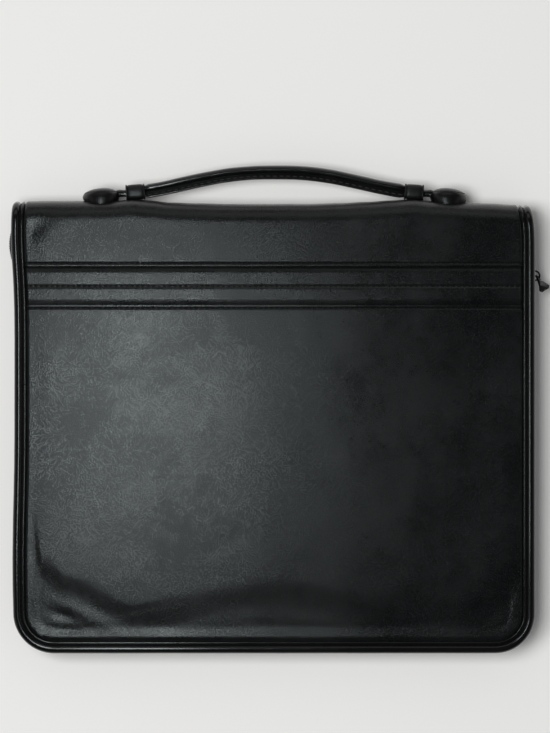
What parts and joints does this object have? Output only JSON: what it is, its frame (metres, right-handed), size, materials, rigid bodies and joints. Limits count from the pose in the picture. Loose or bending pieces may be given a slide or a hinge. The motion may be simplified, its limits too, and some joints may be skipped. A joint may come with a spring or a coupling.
{
  "type": "leather document case",
  "caption": "Zip-round leather document case with a rounded spine, rolled top handle on oval tabs, stitched band across the front and piped binding, lying closed on its back",
  "frame": {"origin": "middle of the flat back, on the surface that the case lies on", "axes": "+X along the spine to the right, +Y up to the handle, +Z through the case from its back to its front"},
  "size_m": [0.3525, 0.3192, 0.0384],
  "materials": {
    "cover_leather": "black pebbled leather, semi-gloss, rubbed grey where it is worn",
    "panel_leather": "black pebbled leather, semi-gloss, with soft creases and rubbed patches",
    "binding_leather": "smooth black leather, semi-gloss, stitched in black thread",
    "handle_leather": "smooth black leather with a low shine, stitched in black thread",
    "zip_tape": "black woven tape, matt",
    "zip_teeth": "black nylon coil",
    "zip_metal": "black enamelled die-cast metal, worn dark grey at its edges"
  },
  "bodies": {
    "case": {"cover": "cover_leather", "front_panel": "panel_leather", "inset_band": "panel_leather", "edge_binding": "binding_leather", "zip_tape_front": "zip_tape", "zip_tape_back": "zip_tape", "zip_teeth": "zip_teeth", "zip_row_front": "zip_teeth", "zip_row_back": "zip_teeth", "zip_slider": "zip_metal", "handle": "handle_leather", "keeper_left": "handle_leather", "handle_tab_left": "handle_leather", "keeper_right": "handle_leather", "handle_tab_right": "handle_leather"},
    "pull": {"zip_pull": "zip_metal"}
  },
  "joints": [
    {"name": "pull_swing", "type": "hinge", "parent": "case", "child": "pull", "pos_m": [0.1718, 0.099, 0.01883], "axis": [0, 0, 1], "range_deg": [-18, 134]}
  ]
}
